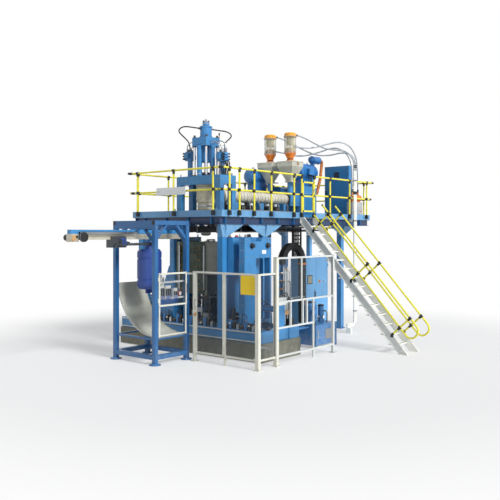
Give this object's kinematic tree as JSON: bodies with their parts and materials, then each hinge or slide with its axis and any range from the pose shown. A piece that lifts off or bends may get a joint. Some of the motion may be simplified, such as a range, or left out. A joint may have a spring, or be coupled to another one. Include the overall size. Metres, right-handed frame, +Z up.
{
  "type": "blow moulding machine",
  "caption": "Accumulator-head blow moulding machine: clamp with drum mould under a railed extruder platform with stair, loaders, take-out unit and fence.",
  "frame": {"origin": "on the floor under the centre of the bed's middle cross beam, straight under the die", "axes": "+Z up, +X along the extruders away from the head, +Y to the rear, away from the stair"},
  "size_m": [10.495, 7.2061, 5.9609],
  "materials": {
    "machine_blue": "satin",
    "skirt_beige": "satin",
    "guide_steel": "ground",
    "drum_violet": "moulded",
    "mould_steel": "satin",
    "deck_aluminium": "tread plate",
    "rail_yellow": "satin",
    "socket_black": "satin",
    "stair_aluminium": "extruded",
    "head_steel": "turned",
    "head_cream": "satin",
    "hopper_steel": "brushed",
    "tie_rod_chrome": "polished",
    "barrel_beige": "satin",
    "blower_black": "satin",
    "loader_orange": "gloss",
    "sight_glass": "clear",
    "pump_grey": "satin",
    "cabinet_blue": "satin",
    "duct_orange": "ribbed",
    "chute_steel": "galvanised",
    "panel_white": "moulded",
    "fence_cream": "satin",
    "clear_pane": "clear",
    "hose_grey": "ribbed",
    "hose_black": "smooth"
  },
  "bodies": {
    "machine": {"bed_frame": "machine_blue", "drip_skirt": "skirt_beige", "guide_rails": "guide_steel", "clamp_cylinders": "machine_blue", "columns": "machine_blue", "deck_frame": "machine_blue", "deck_plates": "deck_aluminium", "guardrails": "rail_yellow", "rail_sockets": "socket_black", "stair_flight": "stair_aluminium", "stair_handrails": "rail_yellow", "head_stand": "machine_blue", "accumulator_head": "head_cream", "ram_tie_rods": "tie_rod_chrome", "ram_unit": "machine_blue", "extruder_barrels": "barrel_beige", "gearboxes": "machine_blue", "drive_motors": "machine_blue", "motor_duct": "duct_orange", "extruder_stands": "machine_blue", "barrel_blowers": "blower_black", "hoppers": "hopper_steel", "loader_ends": "loader_orange", "loader_glasses": "sight_glass", "riser_pipes": "stair_aluminium", "vacuum_pump": "pump_grey", "deck_cabinet": "cabinet_blue", "control_cabinet": "cabinet_blue", "hydraulic_unit": "machine_blue", "water_headers": "machine_blue", "takeout_frame": "machine_blue", "chute": "chute_steel", "takeout_beam": "machine_blue", "pneumatic_panel": "panel_white", "fence_frame": "fence_cream", "fence_panes": "clear_pane", "material_hose_main": "hose_grey", "material_hose_second": "hose_grey", "vacuum_hose_main": "hose_grey", "vacuum_hose_second": "hose_grey", "ram_hose_left": "hose_black", "ram_hose_right": "hose_black"},
    "front_clamp": {"front_carriage": "machine_blue", "front_mould": "mould_steel"},
    "rear_clamp": {"rear_carriage": "machine_blue", "rear_mould": "mould_steel"},
    "ram": {"ram_crosshead": "head_steel"},
    "pin": {"blow_pin": "guide_steel"},
    "gripper": {"takeout_carriage": "stair_aluminium", "drum": "drum_violet"},
    "front_jaw": {"jaw_front": "stair_aluminium"},
    "rear_jaw": {"jaw_rear": "stair_aluminium"},
    "fence_gate": {"fence_door": "fence_cream", "fence_door_pane": "clear_pane"},
    "window": {"guard_window": "fence_cream", "guard_window_pane": "clear_pane"},
    "platform_gate": {"stair_gate": "rail_yellow"},
    "platform_cabinet_door": {"deck_cabinet_door": "cabinet_blue"},
    "cabinet_door_left": {"control_door_left": "cabinet_blue"},
    "cabinet_door_right": {"control_door_right": "cabinet_blue"}
  },
  "joints": [
    {"name": "front_clamp_slide", "type": "slide", "parent": "machine", "child": "front_clamp", "axis": [0, -1, 0], "range_m": [0, 0.45]},
    {"name": "rear_clamp_slide", "type": "slide", "parent": "machine", "child": "rear_clamp", "axis": [0, 1, 0], "range_m": [0, 0.45]},
    {"name": "ram_slide", "type": "slide", "parent": "machine", "child": "ram", "axis": [0, 0, 1], "range_m": [0, 0.24]},
    {"name": "pin_slide", "type": "slide", "parent": "machine", "child": "pin", "axis": [0, 0, 1], "range_m": [0, 0.2]},
    {"name": "takeout_slide", "type": "slide", "parent": "machine", "child": "gripper", "axis": [1, 0, 0], "range_m": [-0.85, 0.85]},
    {"name": "front_jaw_hinge", "type": "hinge", "parent": "gripper", "child": "front_jaw", "pos_m": [-2.69, -0.06, 2.7], "axis": [0, 0, -1], "range_deg": [0, 12]},
    {"name": "rear_jaw_hinge", "type": "hinge", "parent": "gripper", "child": "rear_jaw", "pos_m": [-2.69, 0.06, 2.7], "axis": [0, 0, 1], "range_deg": [0, 12]},
    {"name": "fence_gate_hinge", "type": "hinge", "parent": "machine", "child": "fence_gate", "pos_m": [-1.449, -1.882, 1.1], "axis": [0, 0, 1], "range_deg": [0, 100]},
    {"name": "window_hinge", "type": "hinge", "parent": "machine", "child": "window", "pos_m": [-2.37, -0.7543, 1.7], "axis": [0, 0, -1], "range_deg": [0, 110]},
    {"name": "platform_gate_hinge", "type": "hinge", "parent": "machine", "child": "platform_gate", "pos_m": [2.39037, -1.316, 3.9], "axis": [0, 0, 1], "range_deg": [0, 100]},
    {"name": "platform_cabinet_hinge", "type": "hinge", "parent": "machine", "child": "platform_cabinet_door", "pos_m": [5.391, -0.99, 4.2], "axis": [0, 0, 1], "range_deg": [0, 95]},
    {"name": "cabinet_hinge_left", "type": "hinge", "parent": "machine", "child": "cabinet_door_left", "pos_m": [3.1, -0.909, 1.2], "axis": [0, 0, -1], "range_deg": [0, 95]},
    {"name": "cabinet_hinge_right", "type": "hinge", "parent": "machine", "child": "cabinet_door_right", "pos_m": [4.35, -0.909, 1.2], "axis": [0, 0, 1], "range_deg": [0, 95]}
  ],
  "couplings": [
    {"joint": "rear_clamp_slide", "follows": "front_clamp_slide", "ratio": 1},
    {"joint": "rear_jaw_hinge", "follows": "front_jaw_hinge", "ratio": 1}
  ]
}
